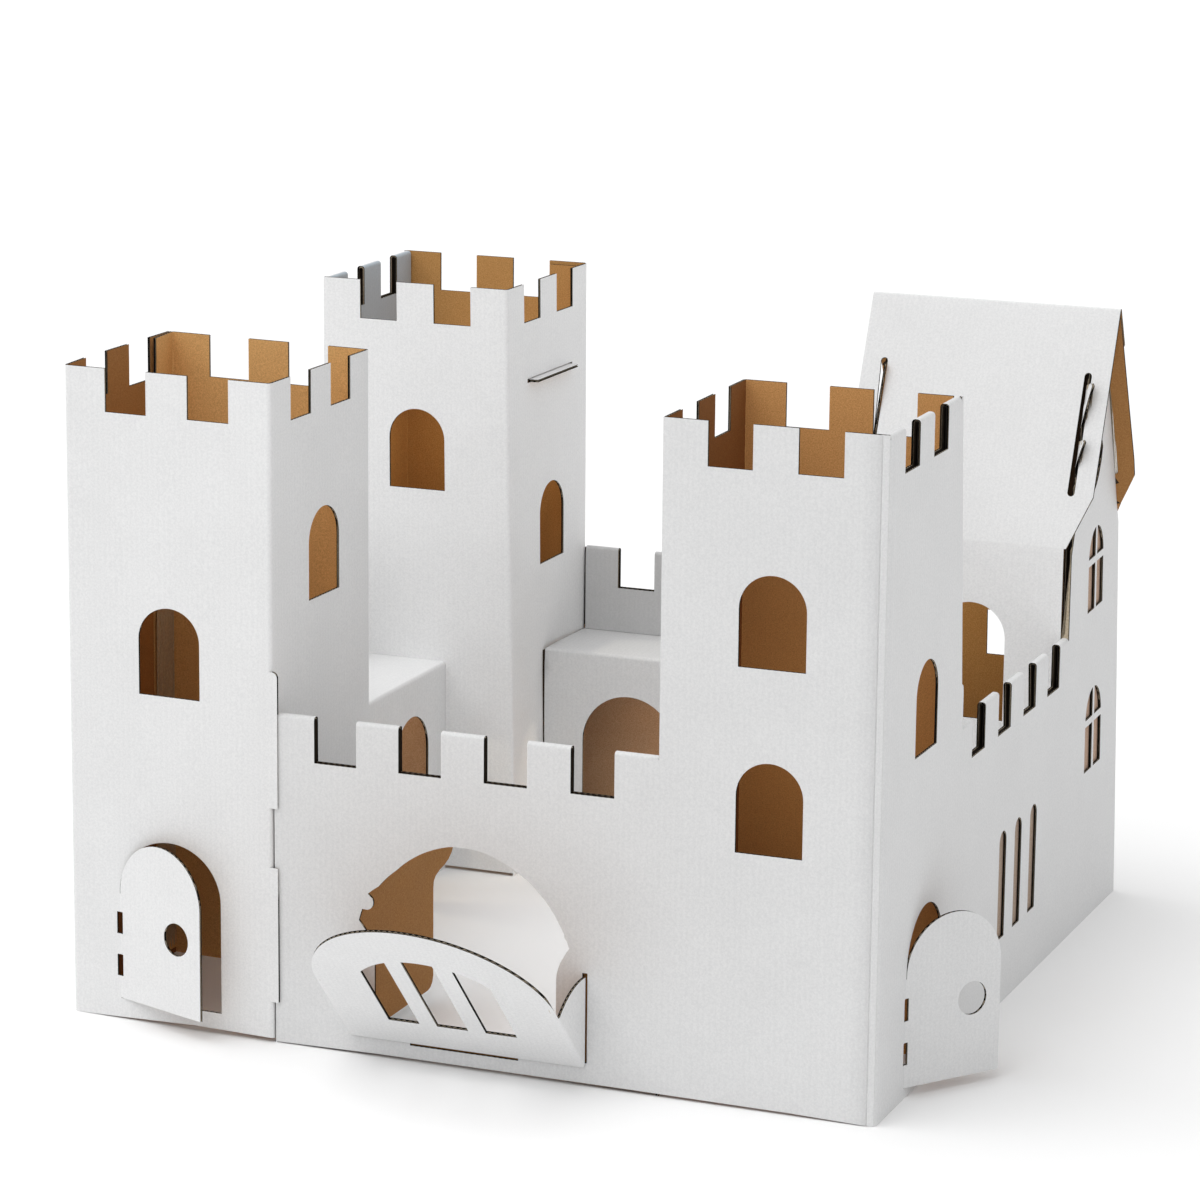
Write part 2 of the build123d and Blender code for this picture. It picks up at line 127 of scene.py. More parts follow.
# ------------------------------------------------------------------- paths
class Path:
    """A bent line with rounded corners. inward is +1 where the brown side lies to the left of its direction, -1 to the right."""

    def __init__(self, pts, inward, radius=2.2):
        self.p = [np.array(q, float) for q in pts]
        self.g = inward
        self.s = [0.0]
        self.d = []
        for a, b in zip(self.p, self.p[1:]):
            self.s.append(self.s[-1] + float(np.hypot(*(b - a))))
            self.d.append((b - a) / np.hypot(*(b - a)))
        self.bends = []
        self.rows = []
        for i in range(1, len(self.p) - 1):
            d0, d1 = self.d[i - 1], self.d[i]
            turn = atan2(d0[0] * d1[1] - d0[1] * d1[0], float(d0 @ d1))
            if abs(turn) < 1e-4:
                continue
            r = radius if turn * self.g > 0 else 0.6
            tan_len = r * abs(tan(turn / 2))
            self.bends.append((i, turn, r, tan_len))
            n = max(2, int(abs(turn) / radians(13)) + 1)
            self.rows += [self.s[i] - tan_len + 2 * tan_len * k / n for k in range(n + 1)]

    def at(self, s, w):
        s = np.asarray(s, float)
        w = np.asarray(w, float)
        out = np.zeros(s.shape + (2,))
        last = len(self.d) - 1
        for i, d in enumerate(self.d):
            m = (s >= (self.s[i] if i else -1e9)) & (s <= (self.s[i + 1] if i < last else 1e9))
            n = self.g * np.array([-d[1], d[0]])
            out[m] = self.p[i] + np.outer(s[m] - self.s[i], d) + np.outer(w[m], n)
        for i, turn, r, tl in self.bends:
            m = (s > self.s[i] - tl) & (s < self.s[i] + tl)
            if not m.any():
                continue
            d = self.d[i - 1]
            n = self.g * np.array([-d[1], d[0]])
            start = self.p[i] - d * tl
            u = (s[m] - (self.s[i] - tl)) / (2 * tl)
            a = atan2(d[1], d[0]) + turn * u
            nn = self.g * np.stack([-np.sin(a), np.cos(a)], axis=1)
            if turn * self.g > 0:
                out[m] = start + n * r - nn * (r - w[m])[:, None]
            else:
                out[m] = start - n * r + nn * (r + w[m])[:, None]
        return out


def upright(path):
    # the path seen from above, heights straight up
    def f(s, t, w):
        p = path.at(s, w)
        return np.stack([p[..., 0], p[..., 1], t], axis=-1)
    return f


def folded(path, profiles):
    # the path seen from above, and by its length the profile that folds the top over
    def f(s, t, w):
        a, z = np.array(w, float), np.array(t, float)
        for s0, s1, prof in profiles:
            m = (s >= s0) & (s <= s1)
            if m.any():
                q = prof.at(t[m], w[m])
                a[m], z[m] = q[:, 0], q[:, 1]
        p = path.at(s, a)
        return np.stack([p[..., 0], p[..., 1], z], axis=-1)
    return f


def rolled(path, axis):
    # the profile in a vertical plane, drawn out along x or y
    def f(s, t, w):
        p = path.at(t, w)
        if axis == "x":
            return np.stack([s, p[..., 0], p[..., 1]], axis=-1)
        return np.stack([p[..., 0], s, p[..., 1]], axis=-1)
    return f


def plane(origin, su, tu, nu):
    origin, su, tu, nu = (np.array(v, float) for v in (origin, su, tu, nu))

    def f(s, t, w):
        return origin + s[..., None] * su + t[..., None] * tu + w[..., None] * nu
    return f


# ------------------------------------------------------------------- board
class Piece:
    def __init__(self, name, node, white=0, kraft=1, more=()):
        self.name, self.node = name, node
        self.papers = (WHITES[white], KRAFTS[kraft], *EDGES, *more)
        self.v, self.f, self.m, self.uv = [], [], [], []
        self.n = 0

    def put(self, verts, uvs, faces, mat):
        self.v.append(np.asarray(verts))
        self.uv.append(np.asarray(uvs))
        self.f.append(np.asarray(faces, dtype=np.int64) + self.n)
        self.m.append(np.full(len(faces), mat, dtype=np.int32))
        self.n += len(verts)

    def sheet(self, add, cut, fmap, cols=(), rows=(), warp=None, seed=0.0, core_rows=(), step=STEP, white_at=None, kraft_at=None):
        """One flat blank of board, its outline less its cuts, folded by fmap. cols and rows are (place, from, to);
        white_at and kraft_at pick, by the place on the blank, a lighter or darker copy of the paper: painted light and
        painted shade."""
        add = [[tuple(map(float, q)) for q in l] for l in add]
        cut = [[tuple(map(float, q)) for q in l] for l in cut]
        pts, edges = [], []

        def line(a, b):
            n = max(1, int(np.ceil(hypot(b[0] - a[0], b[1] - a[1]) / step)))
            return [(a[0] + (b[0] - a[0]) * k / n, a[1] + (b[1] - a[1]) * k / n) for k in range(n)]

        for l in add + cut:
            i0 = len(pts)
            for a, b in zip(l, l[1:] + l[:1]):
                pts += line(a, b)
            n = len(pts) - i0
            edges += [(i0 + k, i0 + (k + 1) % n) for k in range(n)]
        s_all = [q[0] for l in add for q in l]
        t_all = [q[1] for l in add for q in l]
        lo_s, hi_s, lo_t, hi_t = min(s_all), max(s_all), min(t_all), max(t_all)

        def strand(a, b):
            i0 = len(pts)
            pts.extend(line(a, b) + [b])
            edges.extend((i0 + k, i0 + k + 1) for k in range(len(pts) - i0 - 1))

        for c, a, b in cols:
            strand((c, a), (c, b))
        for c, a, b in rows:
            strand((a, c), (b, c))
        gs = np.arange(lo_s + step / 2, hi_s, step)
        gt = np.arange(lo_t + step / 2, hi_t, step)
        if len(gs) and len(gt):
            g = np.array([(a, b + (step / 2 if i % 2 else 0)) for i, a in enumerate(gs) for b in gt])
            g = g[inside(add, cut, g)]
            old = np.array(pts)
            far = np.array([((old - q) ** 2).sum(axis=1).min() > (step * 0.4) ** 2 for q in g], bool) if len(g) else []
            pts += [tuple(q) for q, o in zip(g, far) if o]
        vs, _, fs, *_ = delaunay_2d_cdt([Vector(q) for q in pts], edges, [], 0, 1e-4)
        v2 = np.array([(q[0], q[1]) for q in vs])
        tri = np.array([f for f in fs if len(f) == 3])
        cen = v2[tri].mean(axis=1)
        e1, e2 = v2[tri[:, 1]] - v2[tri[:, 0]], v2[tri[:, 2]] - v2[tri[:, 0]]
        area = e1[:, 0] * e2[:, 1] - e1[:, 1] * e2[:, 0]
        tri = tri[inside(add, cut, cen) & (np.abs(area) > 1e-7)]
        a = v2[tri[:, 1]] - v2[tri[:, 0]]
        b = v2[tri[:, 2]] - v2[tri[:, 0]]
        neg = a[:, 0] * b[:, 1] - a[:, 1] * b[:, 0] < 0
        tri[neg] = tri[neg][:, ::-1]
        used = np.unique(tri)
        back = -np.ones(len(v2), int)
        back[used] = np.arange(len(used))
        v2, tri = v2[used], back[tri]
        # does the drawing's own turn face the white side?
        q = v2[tri[len(tri) // 2]]
        p3 = fmap(q[:, 0], q[:, 1], np.zeros(3))
        inn = fmap(q[:1, 0], q[:1, 1], np.ones(1))[0] - p3[0]
        turn = np.cross(p3[1] - p3[0], p3[2] - p3[0]) @ inn < 0
        if not turn:
            tri = tri[:, ::-1]
        ekeys = {}
        for f in tri:
            for i in range(3):
                x, y = int(f[i]), int(f[(i + 1) % 3])
                ekeys[(x, y)] = ekeys.get((x, y), 0) + 1
        rim = [(x, y) for (x, y) in ekeys if (y, x) not in ekeys]

        def place(st, w):
            p = fmap(st[:, 0], st[:, 1], np.full(len(st), w) if np.isscalar(w) else w)
            if warp is not None:
                p = warp(p)
            return (p + SHIFT) * MM

        uv = v2 / 100.0 + np.array([seed, seed * 0.37])
        n = len(v2)
        for w0, w1, m0, m1 in ((0.0, LINER, WHITE, INNER_SHADE), (T - LINER, T, INNER_SHADE, KRAFT)):
            base = self.n
            self.v.append(np.concatenate([place(v2, w0), place(v2, w1)]))
            self.uv.append(np.concatenate([uv, uv]))
            self.n += 2 * n
            c = v2[tri].mean(axis=1)
            self.f.append(tri + base)
            self.m.append(white_at(c[:, 0], c[:, 1]).astype(np.int32) if white_at and m0 == WHITE else np.full(len(tri), m0, np.int32))
            self.f.append(tri[:, ::-1] + base + n)
            self.m.append(kraft_at(c[:, 0], c[:, 1]).astype(np.int32) if kraft_at and m1 == KRAFT else np.full(len(tri), m1, np.int32))
            r = np.array(rim)
            x, y = r[:, 0], r[:, 1]
            quads = np.concatenate([np.stack([x, x + n, y], 1), np.stack([y, x + n, y + n], 1)])
            self.f.append(quads + base)
            self.m.append(np.full(len(quads), CUT, np.int32))
        self.flutes(add, cut, place, lo_s, hi_s, sorted(set(round(c, 3) for c, *_ in rows) | set(core_rows)), seed)

    def flutes(self, add, cut, place, lo, hi, rows, seed):
        per = 6
        ds = PITCH / per
        k0, k1 = int(np.ceil((lo + 0.05) / ds)), int(np.floor((hi - 0.05) / ds))
        mid, amp, th = T / 2, (T - 2 * LINER) / 2 - 0.12, 0.1
        prev = None
        quads = []
        for k in range(k0, k1 + 1):
            s = k * ds + 1e-3
            cur = spans(add, cut, s)
            if prev is not None:
                for a0, a1 in prev[1]:
                    for b0, b1 in cur:
                        if min(a1, b1) - max(a0, b0) < 0.6:
                            continue
                        l0, l1 = (a0, b0) if abs(a0 - b0) < 1.5 else (max(a0, b0),) * 2
                        h0, h1 = (a1, b1) if abs(a1 - b1) < 1.5 else (min(a1, b1),) * 2
                        mids = [r for r in rows if r > max(l0, l1) + 0.05 and r < min(h0, h1) - 0.05]
                        la = [l0 + 0.12] + mids + [h0 - 0.12]
                        lb = [l1 + 0.12] + mids + [h1 - 0.12]
                        quads.append((prev[0], s, k - 1, k, la, lb))
            prev = (s, cur)
        if not quads:
            return
        P, UV, F = [], [], []
        n = 0
        for s0, s1, i0, i1, la, lb in quads:
            w0 = mid + amp * cos(2 * pi * i0 / per)
            w1 = mid + amp * cos(2 * pi * i1 / per)
            m = len(la)
            for d in (-th / 2, th / 2):
                for a, b in zip(la, lb):
                    P.append((s0, a, w0 + d))
                    P.append((s1, b, w1 + d))
            for j in range(m - 1):
                a = n + 2 * j
                F += [(a, a + 1, a + 3), (a, a + 3, a + 2)]
                b = a + 2 * m
                F += [(b, b + 3, b + 1), (b, b + 2, b + 3)]
            e0, e1 = n, n + 2 * m
            F += [(e0, e1, e1 + 1), (e0, e1 + 1, e0 + 1)]
            e0, e1 = n + 2 * (m - 1), n + 2 * m + 2 * (m - 1)
            F += [(e0, e1 + 1, e1), (e0, e0 + 1, e1 + 1)]
            n += 4 * m
        P = np.array(P)
        p3 = place(P[:, :2], P[:, 2])
        self.put(p3, P[:, :2] / 100.0 + seed, np.array(F), FLUTE)

    def finish(self):
        v = np.concatenate(self.v)
        f = np.concatenate(self.f)
        m = np.concatenate(self.m)
        uv = np.concatenate(self.uv)
        me = bpy.data.meshes.new(self.name)
        me.vertices.add(len(v))
        me.vertices.foreach_set("co", v.astype(np.float32).ravel())
        me.loops.add(len(f) * 3)
        me.loops.foreach_set("vertex_index", f.astype(np.int32).ravel())
        me.polygons.add(len(f))
        me.polygons.foreach_set("loop_start", np.arange(0, len(f) * 3, 3, dtype=np.int32))
        me.polygons.foreach_set("material_index", m)
        me.update(calc_edges=True)
        me.validate()
        lay = me.uv_layers.new(name="Sheet")
        idx = np.empty(len(me.loops), np.int32)
        me.loops.foreach_get("vertex_index", idx)
        lay.data.foreach_set("uv", uv[idx].astype(np.float32).ravel())
        me.polygons.foreach_set("use_smooth", np.ones(len(me.polygons), bool))
        me.set_sharp_from_angle(angle=radians(62))
        for mat in self.papers:
            me.materials.append(mat)
        ob = bpy.data.objects.new(self.name, me)
        bpy.context.scene.collection.objects.link(ob)
        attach(ob, "root")
        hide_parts(self.node)
        print(self.name, len(f))
        return ob


# --------------------------------------------------------------- materials
def mat(name):
    m = bpy.data.materials.new(name)
    m.use_nodes = True
    nt = m.node_tree
    return m, nt, nt.nodes["Principled BSDF"]


def node(nt, kind, **vals):
    n = nt.nodes.new(kind)
    for k, v in vals.items():
        if k.startswith("in_"):
            n.inputs[k[3:].replace("_", " ")].default_value = v
        else:
            setattr(n, k, v)
    return n


def ramp(nt, fac, stops):
    r = nt.nodes.new("ShaderNodeValToRGB")
    nt.links.new(fac, r.inputs["Fac"])
    e = r.color_ramp.elements
    while len(e) < len(stops):
        e.new(0.5)
    for el, (pos, col) in zip(e, stops):
        el.position = pos
        el.color = (*col, 1.0)
    return r.outputs["Color"]


def mult(nt, a, b, fac=1.0):
    m = nt.nodes.new("ShaderNodeMix")
    m.data_type = "RGBA"
    m.blend_type = "MULTIPLY"
    m.inputs["Factor"].default_value = fac
    nt.links.new(a, m.inputs["A"])
    nt.links.new(b, m.inputs["B"])
    return m.outputs["Result"]


def paper(name, stops, fibre, blotch, trough_shading, rough, bump, speck=None, grain=1.0):
    """Paper with washboard from the fluting below, fibres along the flutes, blotches and fine specks; the washboard's
    troughs are also darkened in colour, painted shade.
    """
    m, nt, bsdf = mat(name)
    L = nt.links
    uv = node(nt, "ShaderNodeUVMap", uv_map="Sheet")
    tc = node(nt, "ShaderNodeTexCoord")
    sep = node(nt, "ShaderNodeSeparateXYZ")
    L.new(uv.outputs["UV"], sep.inputs["Vector"])
    # washboard: one ridge a flute, 3.2 mm
    k = node(nt, "ShaderNodeMath", operation="MULTIPLY")
    k.inputs[1].default_value = 2 * pi * 100.0 / PITCH
    L.new(sep.outputs["X"], k.inputs[0])
    sn = node(nt, "ShaderNodeMath", operation="SINE")
    L.new(k.outputs[0], sn.inputs[0])
    w01 = node(nt, "ShaderNodeMapRange")
    w01.inputs["From Min"].default_value = -1
    L.new(sn.outputs[0], w01.inputs["Value"])
    # fibres, long along the flutes
    st = node(nt, "ShaderNodeVectorMath", operation="MULTIPLY")
    st.inputs[1].default_value = (260.0, 34.0, 1.0)
    L.new(uv.outputs["UV"], st.inputs[0])
    fib = node(nt, "ShaderNodeTexNoise", in_Scale=1.0, in_Detail=4.0, in_Roughness=0.6)
    L.new(st.outputs[0], fib.inputs["Vector"])
    fine = node(nt, "ShaderNodeTexNoise", in_Scale=900.0 * grain, in_Detail=3.0, in_Roughness=0.65)
    L.new(tc.outputs["Object"], fine.inputs["Vector"])
    blot = node(nt, "ShaderNodeTexNoise", in_Scale=26.0, in_Detail=5.0, in_Roughness=0.55)
    L.new(tc.outputs["Object"], blot.inputs["Vector"])
    col = ramp(nt, fine.outputs["Fac"], stops)
    g = lambda v: (v, v, v)
    col = mult(nt, col, ramp(nt, fib.outputs["Fac"], [(0.3, g(1 - fibre)), (0.7, g(1.0))]))
    col = mult(nt, col, ramp(nt, blot.outputs["Fac"], [(0.3, g(1 - blotch)), (0.65, g(1.0))]))
    # painted shade: darker in the washboard's troughs, along with the bump
    col = mult(nt, col, ramp(nt, w01.outputs[0], [(0.0, g(1 - trough_shading)), (1.0, g(1.0))]))
    if speck:
        sp = node(nt, "ShaderNodeTexVoronoi", in_Scale=speck[0])
        L.new(tc.outputs["Object"], sp.inputs["Vector"])
        col = mult(nt, col, ramp(nt, sp.outputs["Distance"], [(speck[1], speck[2]), (speck[1] + 0.06, g(1.0))]))
    L.new(col, bsdf.inputs["Base Color"])
    rr = node(nt, "ShaderNodeMapRange")
    rr.inputs["To Min"].default_value = rough - 0.08
    rr.inputs["To Max"].default_value = rough + 0.08
    L.new(blot.outputs["Fac"], rr.inputs["Value"])
    L.new(rr.outputs[0], bsdf.inputs["Roughness"])
    bsdf.inputs["Specular IOR Level"].default_value = 0.25
    h1 = node(nt, "ShaderNodeMath", operation="MULTIPLY")
    h1.inputs[1].default_value = bump[0]
    L.new(sn.outputs[0], h1.inputs[0])
    h2 = node(nt, "ShaderNodeMath", operation="MULTIPLY_ADD")
    h2.inputs[1].default_value = bump[1]
    L.new(fib.outputs["Fac"], h2.inputs[0])
    L.new(h1.outputs[0], h2.inputs[2])
    h3 = node(nt, "ShaderNodeMath", operation="MULTIPLY_ADD")
    h3.inputs[1].default_value = bump[2]
    L.new(fine.outputs["Fac"], h3.inputs[0])
    L.new(h2.outputs[0], h3.inputs[2])
    b = node(nt, "ShaderNodeBump", in_Strength=1.0, in_Distance=1.0)
    L.new(h3.outputs[0], b.inputs["Height"])
    L.new(b.outputs["Normal"], bsdf.inputs["Normal"])
    return m


def lin(r, g, b):
    return tuple(((c / 255 + 0.055) / 1.055) ** 2.4 if c > 10 else c / 255 / 12.92 for c in (r, g, b))


def dim(stops, k):
    return [(pos, tuple(min(0.98, c * k) for c in col)) for pos, col in stops]


white = [(0.35, (0.757, 0.759, 0.762)), (0.65, (0.83, 0.83, 0.83))]
kraft = [(0.34, lin(188, 143, 90)), (0.5, lin(203, 157, 101)), (0.66, lin(216, 171, 115))]
# paler, greyed kraft: painted light on the inner layers seen through the slots and the gable's windows
PALE, SLOT_GREY_LIT = (0.82, 0.99, 1.86), (0.67, 0.89, 1.75)
# the one white liner in copies by light: the copies at 0.91, 0.74 and 0.60 and the cool one are painted shade, the one
# at 1.10 is painted light
WHITES = [paper("white_liner" + tag, dim(white, k), 0.03, 0.03, 0.016, 0.6, (0.0000085, 0.000014, 0.00002)) for tag, k in (("", 1.0), ("_painted_slight_shading", 0.91), ("_painted_lit", 1.10), ("_painted_shading", 0.74), ("_painted_heavy_shading", 0.60))]
WHITES.append(paper("white_liner_painted_cool_shading", [(pos, tuple(c * k for c, k in zip(col, (0.56, 0.63, 0.69)))) for pos, col in white], 0.03, 0.03, 0.016, 0.6, (0.0000085, 0.000014, 0.00002)))
# the one kraft liner in copies by light: the plain one (0.90, 0.84, 0.72) is the board's own colour; the lighter and
# warmer ones are painted light, the darker ones painted shade down to near black where little light gets in, and the
# paler, greyed ones painted light on inner layers seen through slots, windows and arches
KRAFTS = [paper("kraft_liner" + tag, [(pos, tuple(min(0.93, c * k) for c, k in zip(col, ks))) for pos, col in kraft], 0.05, 0.04, 0.012, 0.82, (0.000006, 0.00002, 0.00004), (1300.0, 0.12, lin(196, 176, 152)), 1.6)
          for tag, ks in (("_light", (1.0, 1.06, 1.02)), ("", (0.90, 0.84, 0.72)), ("_painted_shadow_tone", (0.66, 0.56, 0.46)), ("_painted_more_lit", (1.25, 1.30, 1.30)), ("_painted_heavy_shadow", (0.45, 0.32, 0.22)), ("_painted_black_shading", (0.05, 0.05, 0.06)),
                        ("_painted_lit_grey", PALE), ("_painted_lit_greyer", SLOT_GREY_LIT), ("_painted_lit_greyed", (0.92, 1.04, 1.65)), ("_painted_lit_tan", (1.13, 1.03, 0.94)))]
# the backs of the liners are near black, painted shade between the layers; the cut edges are the board's brown,
# darkened further to near black as painted shade; the fluting keeps its own colour
EDGES = (paper("liner_back_painted_shading", [(0.3, lin(6, 5, 4)), (0.7, lin(12, 10, 8))], 0.12, 0.1, 0.0, 0.9, (0.0, 0.00003, 0.00004)),
         paper("cut_edge", [(0.3, lin(22, 18, 14)), (0.7, lin(42, 35, 28))], 0.10, 0.12, 0.0, 0.9, (0.0, 0.00003, 0.00004)),
         paper("kraft_fluting", [(0.3, lin(176, 160, 136)), (0.7, lin(206, 192, 168))], 0.10, 0.1, 0.0, 0.9, (0.0, 0.00003, 0.00004)))

# -------------------------------------------------------- drawing of the blanks
GAP = 1.8
DOUBLE = 2 * T + GAP
TOWER_H, TOWER_N, WALL_H, WALL_N = 354.0, 23.0, 180.0, 24.5
TN = TOWER_H - TOWER_N
WN = WALL_H - WALL_N
WW, WS = 17.9, 30.0
FOLD_WALL = 2 * WALL_H + DOUBLE          # height on the outside + place on the turned-down layer
FOLD_TOWER = 2 * TOWER_H + DOUBLE


def wall_profile():
    return Path([(0, 0), (0, WALL_H), (DOUBLE, WALL_H), (DOUBLE, 0)], -1, 1.9)


def tower_profile():
    return Path([(0, 0), (0, TOWER_H), (DOUBLE, TOWER_H), (DOUBLE, 100)], -1, 1.9)


def window(cx, sill, grow=0.0):
    return arch(cx, WW + grow, sill - grow, sill + WS, 28)


def cross_window(cx, sill):
    # four panes round two 4 mm bars
    z = sill + WS
    y = sqrt(WW ** 2 - 4)
    a0 = np.degrees(np.arcsin(1.0 / WW))
    a1 = np.degrees(np.arccos(2.0 / WW))
    return [rect(cx - WW, cx - 2, sill, sill + 27), rect(cx + 2, cx + WW, sill, sill + 27),
            [(cx + 2, sill + 31)] + arc(cx, z, WW, a0, a1, 14),
            [(cx - 2, sill + 31)] + arc(cx, z, WW, 180 - a0, 180 - a1, 14)]


def fold_rows(path, s0, s1):
    return [(r, s0, s1) for r in path.rows]


def fold_cols(path, t0, t1, skip=()):
    return [(r, t0, t1) for r in path.rows]


DOOR_HALF, DOOR_Z, DOOR_S = 30.2, 11.4, 71.5


def door_leaf(piece, d0, hinge, angle, seed, warp=None):
    """The leaf in its own plane, from just before the hinge fold. d0 is the wall's direction there."""
    a = atan2(d0[1], d0[0]) - angle
    h = np.array(hinge, float)
    p = Path([h - np.array(d0) * 1.0, h, h + 61.0 * np.array([cos(a), sin(a)])], 1, 2.2)
    hw = DOOR_HALF - 0.3
    cx = 1 + DOOR_HALF
    tongues = [rect(0, 1.6, DOOR_Z + 0.3, 24), rect(0, 1.6, 36, 47.6), rect(0, 1.6, 59.7, DOOR_S - 1.5)]
    cuts = [disc(1 + 42.3, 53.2, 9.0, 32), rect(-2, 2.9, 24, 36), rect(-2, 2.9, 47.6, 59.7)]
    piece.sheet([arch(cx, hw, DOOR_Z + 0.3, DOOR_S, 40)] + tongues, cuts, upright(p), cols=[(c, DOOR_Z + 0.3, DOOR_S - 1.5) for c in p.rows], warp=warp, seed=seed, step=9)


# tower_front_left: one wrapped blank
def tower_a_warp(p):
    # stands a little turned and out of square, its front edge just off the floor
    x, y, z = p[..., 0], p[..., 1], p[..., 2]
    q = p.copy()
    u = np.clip(x / 120.0, -0.05, 1.05)
    v = np.clip((y + 1.5) / 117.0, -0.15, 1)
    h = z / 354.0
    flap = (x > 1.4) & (x < 5.5) & (y > 88) & (y < 115.2)
    x = np.where(flap, 1.52 + (x - 1.52) * np.clip((z - 230) / 110.0, 0, 1), x)
    q[..., 0] = x - 2.2 * (1 - u) * (1 - v) + 0.4 * (1 - u) * v + 2.6 * u * v - 2.0 * np.clip(v * 4, 0, 1) * np.clip(1 - x / 24.0, 0, 1)
    q[..., 1] = y + (5.3 + 1.4 * h) * (1 - u) + 1.6 * h * u * (1 - v)
    lift_up = np.interp(u, (0.0, 0.15, 0.6, 1.0), (0.0, 0.4, 2.6, 2.4)) * np.clip(1 - v * 8, 0, 1)
    q[..., 2] = z + lift_up * np.clip(1 - z / 11.0, 0, 1)
    return q


AY0 = -1.5
pa = Path([(0, 115.5), (0, AY0), (120, AY0), (120, 115.5), (1.5, 115.5), (3.4, 92.0)], 1, 2.3)
# kraft side in the lighter copy, painted light; the left wall's inside in darker copies, painted shade, darkest below a
# height of 150
A = Piece("front_left_tower_card", "tower_front_left", 0, 3, (KRAFTS[2], KRAFTS[4]))
F0, R0, B0 = 117.0, 237.0, 354.0
add = [rect(0, 472.5, 0, TOWER_H), rect(472.4, 496.0, 3, TOWER_H)]
cut = [rect(a, b, TN, TOWER_H + 5) for a, b in ((23.4, 46.8), (70.2, 93.6), (F0 + 24, F0 + 48), (F0 + 72, F0 + 96),
                                                 (R0 + 23.4, R0 + 46.8), (R0 + 70.2, R0 + 93.6), (B0 + 24, B0 + 48), (B0 + 72, B0 + 96))]
cut += [window(F0 + 60, 181.5), window(R0 + 61.5, 231), arch(F0 + 59.1, DOOR_HALF, DOOR_Z, DOOR_S),
        rect(F0 + 27.9, F0 + 30, DOOR_Z + 0.3, DOOR_S - 1.5), rect(F0 + 27.0, F0 + 30.8, 24, 36), rect(F0 + 27.0, F0 + 30.8, 47.6, 59.7)]
A.sheet(add, cut, upright(pa), cols=fold_cols(pa, 0, TOWER_H), warp=tower_a_warp, seed=0.13,
        kraft_at=lambda s, t: np.where(s < F0, np.where(t < 150, 6, 5), KRAFT))
door_leaf(A, (1, 0), (28.9, AY0), radians(17.5), 3.1, tower_a_warp)
for z0, z1 in ((128.5, 202.0), (22.4, 96.3)):
    if z0 > 100:
        tab = [(117.7, z0), (123.1, z0), (123.1, z1 - 3.2)] + arc(119.9, z1 - 3.2, 3.2, 0, 90, 8) + [(117.7, z1)]
    else:
        tab = [(117.7, z0), (123.1, z0), (123.1, z1), (117.7, z1)]
    A.sheet([tab], [], plane((0, AY0, 0), (1, 0, 0), (0, 0, 1), (0, 1, 0)), warp=tower_a_warp, seed=0.13 + z0 / 100)
A.finish()

# outer_wall_front: gate wall, right front tower's front and right side, right wall and gable
po = Path([(120, 0), (449.8, 0), (454.5, 1.2), (454.5, 448)], 1, 1.2)
OC, OR, OG = 216.0, 333.45, 664.45
wp, tp = wall_profile(), tower_profile()
lift = T * sqrt(1 + (128 / 58.5) ** 2)
slope = 128 / 58.5
apex_y = 389.5 - lift / (2 * slope)
apex_z = 359 - lift - (389.5 - apex_y) * slope
# white side the slightly darker copy, painted shade; kraft side the darker copy, painted shade
W = Piece("outer_wall_front_card", "outer_wall_front", 1, 2, (KRAFTS[5], KRAFTS[7]))
add = [rect(0.8, OC, 0, FOLD_WALL - 0.2), rect(OC, OR + 116, 0, TOWER_H),
       rect(OR + 1.8, OR + 114.2, 353, FOLD_TOWER - 297), rect(OR + 131.8, OG, 0, FOLD_WALL - 0.2),
       rect(OR + 115.9, OR + 132, 0, WALL_H),
       # the edge behind the tower runs out to a step above the wall
       [(OR + 115.5, 150), (OR + 131.6, 150), (OR + 131.6, 198.4), (OR + 130.9, 199.1), (OR + 128.4, 200.4), (OR + 116.6, 354), (OR + 115.5, 354)],
       [(OG - 0.01, 0), (OG + 117, 0), (OG + 117, 231 - 2 * lift), (OR + apex_y, apex_z), (OG - 0.01, 231 - lift)]]
cut = [rect(OC - 0.25, OC + 0.05, WALL_H - 1.6, 400), rect(OR + 131.6, OR + 131.9, WALL_H - 1.6, 400), rect(OG - 0.3, OG - 0.0, WALL_H - 1.6, 400),
       rect(OR + 1.7, OR + 1.85, 351.6, 360), rect(OR + 114.15, OR + 114.3, 351.6, 360)]
for a in (24, 72, 120, 168):
    cut.append(rect(a, a + 24, WN, WALL_H + DOUBLE + WALL_N))
for a in (149.5, 196.9, 244.2, 290.4):
    cut.append(rect(OR + a, OR + a + 23.3, WN, WALL_H + DOUBLE + WALL_N))
for a in (23.7, 71.1):
    cut.append(rect(OC + a, OC + a + 23.7, TN, TOWER_H + 4))
for a in (23.2, 69.6):
    cut.append(rect(OR + a, OR + a + 23.2, TN, TOWER_H + DOUBLE + TOWER_N))
cut += [window(OC + 59.25, 135), window(OC + 59.25, 231), window(OR + 69, 179)]
cut.append([(1.6, -1), (331, -1), (331, 0.3), (290, 1.3), (200, 1.7), (60, 1.5), (1.6, 0.5)])
for cy in (212.5, 241.5, 270.5):
    cut.append(arch(OR + cy, 6.4, 38.2, 92.6, 14))
for cy, sill in ((392.5, 90.2), (390.5, 185.0)):
    cut += cross_window(OR + cy, sill)
# gate, with a small nub each side
gx, gz = 229.3 - 120, 60.5


